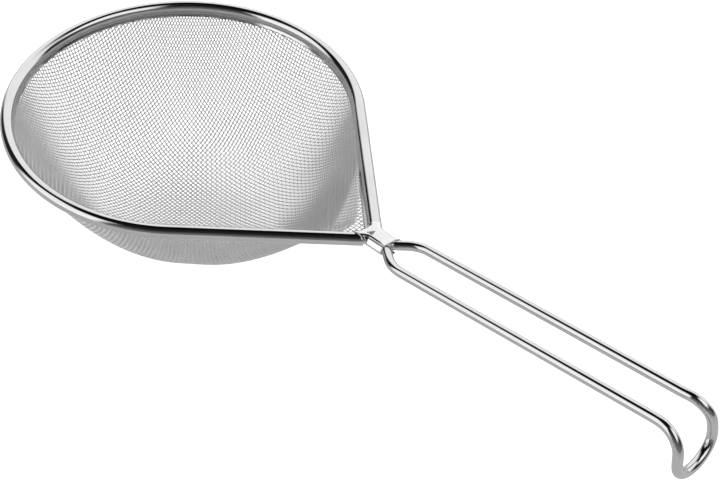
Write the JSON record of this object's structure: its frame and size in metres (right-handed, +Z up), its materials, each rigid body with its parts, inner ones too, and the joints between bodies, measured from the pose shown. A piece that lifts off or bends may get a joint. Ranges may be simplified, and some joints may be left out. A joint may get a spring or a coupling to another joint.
{
  "type": "tea strainer",
  "caption": "Tea strainer: a woven steel mesh bowl in a drop-shaped rim with an open wire handle that ends in a hook, held or laid over a cup to strain tea.",
  "frame": {"origin": "centre of the rim's round part, on the rim's mid-plane", "axes": "+X towards the handle and its hook, +Z up out of the bowl, the rim's plane is z = 0"},
  "size_m": [0.1833, 0.083, 0.0434],
  "materials": {
    "wire_steel": "polished stainless steel wire",
    "rim_steel": "polished stainless steel sheet",
    "mesh_steel": "bright woven wire, drawn and unpolished",
    "collar_steel": "polished stainless steel sheet, pressed"
  },
  "bodies": {
    "root": {"frame_wire": "wire_steel", "rim_band": "rim_steel", "mesh_bowl": "mesh_steel", "neck_collar": "collar_steel"}
  },
  "joints": []
}
